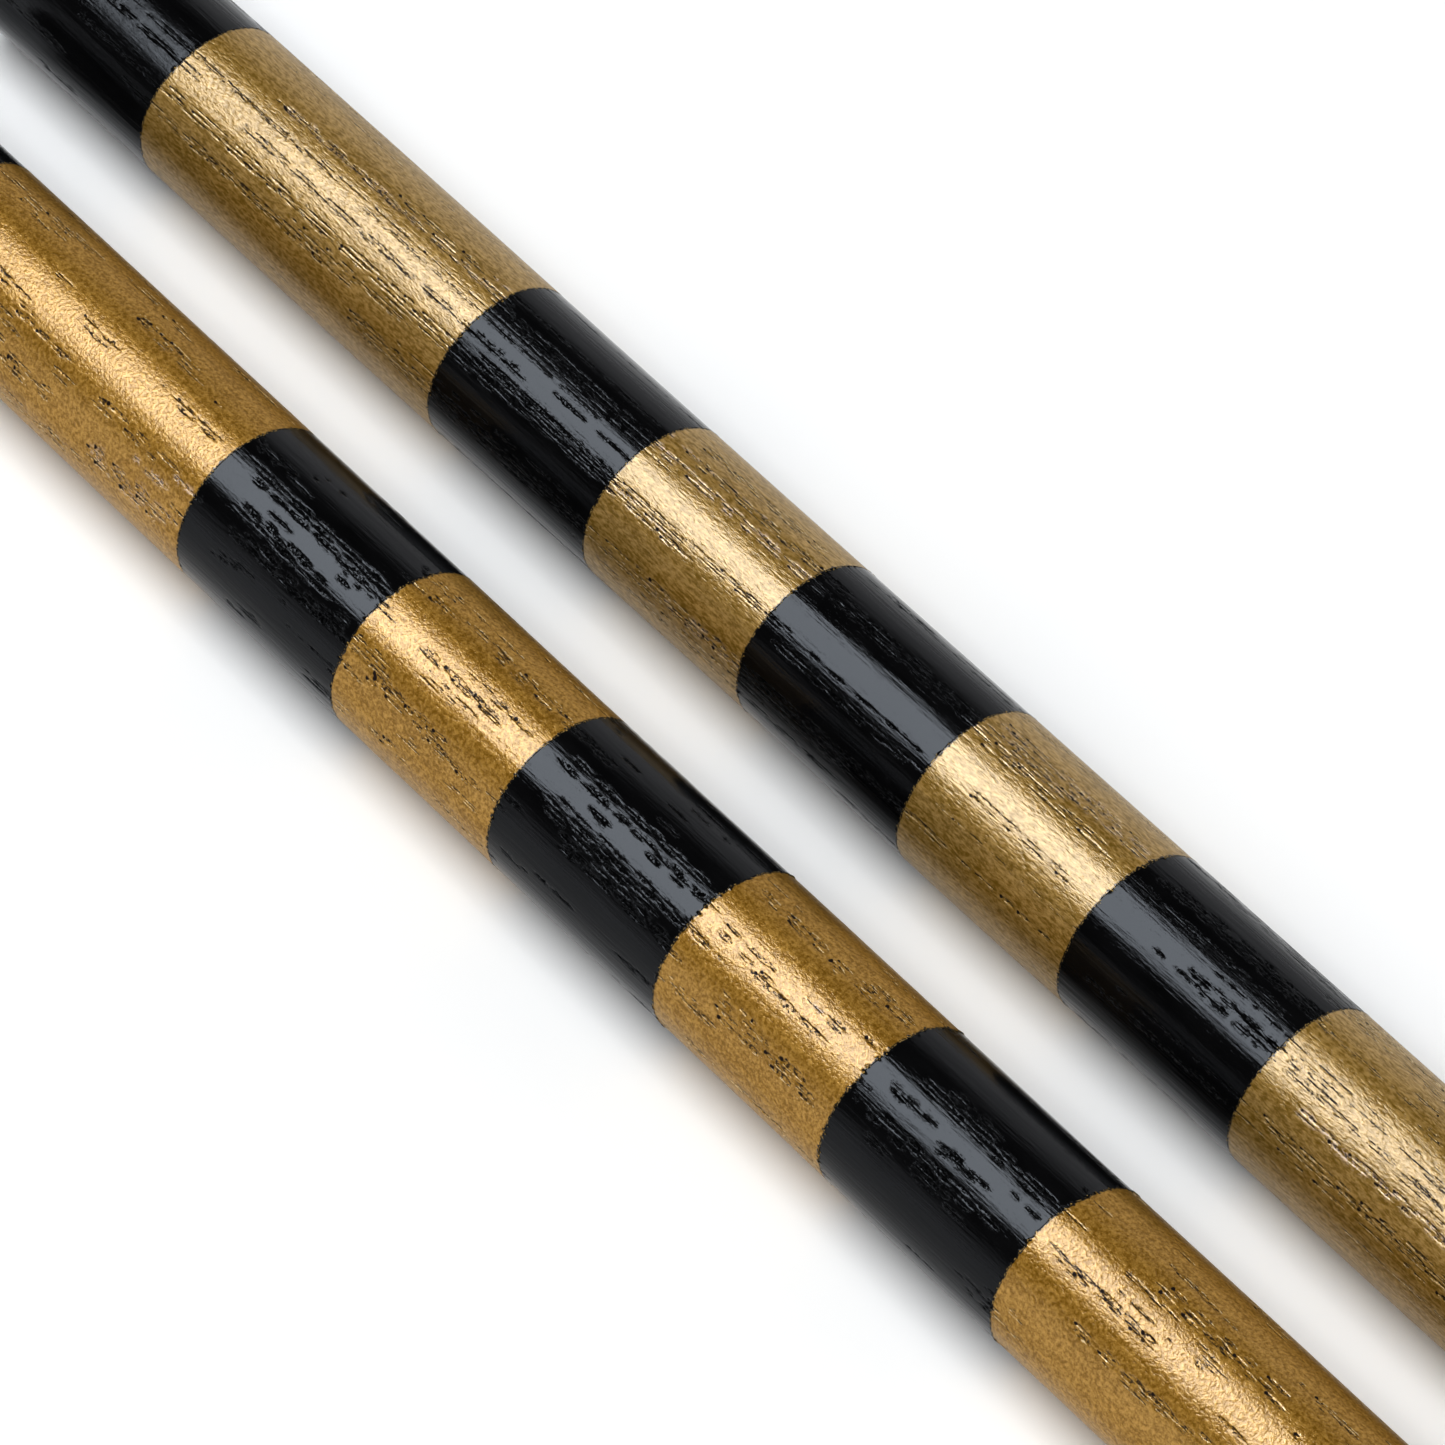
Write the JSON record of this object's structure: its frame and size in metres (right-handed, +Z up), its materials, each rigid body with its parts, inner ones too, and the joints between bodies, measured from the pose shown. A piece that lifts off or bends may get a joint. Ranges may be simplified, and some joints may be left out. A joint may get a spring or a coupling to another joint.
{
  "type": "claves",
  "caption": "Claves: slim round wooden percussion sticks with rounded ends, painted in wide and narrow bands of metallic gold and gloss black, lying side by side.",
  "frame": {"origin": "on the table under the middle of the pair: the centre of the bounding box's bottom face", "axes": "+X along both sticks, +Y from the resonator stick to the striker stick, +Z up from the table"},
  "size_m": [0.301, 0.053, 0.02],
  "materials": {
    "resonator_gold": "open-pored hardwood under warm metallic gold paint",
    "striker_gold": "open-pored hardwood under paler metallic gold paint",
    "gloss_black": "open-pored hardwood under gloss black paint"
  },
  "bodies": {
    "resonator": {"resonator_stick": "resonator_gold"},
    "striker": {"striker_stick": "striker_gold"}
  },
  "joints": [
    {"name": "striker_lift", "type": "slide", "parent": "resonator", "child": "striker", "axis": [0, 0, 1], "range_m": [0, 0.15]}
  ]
}
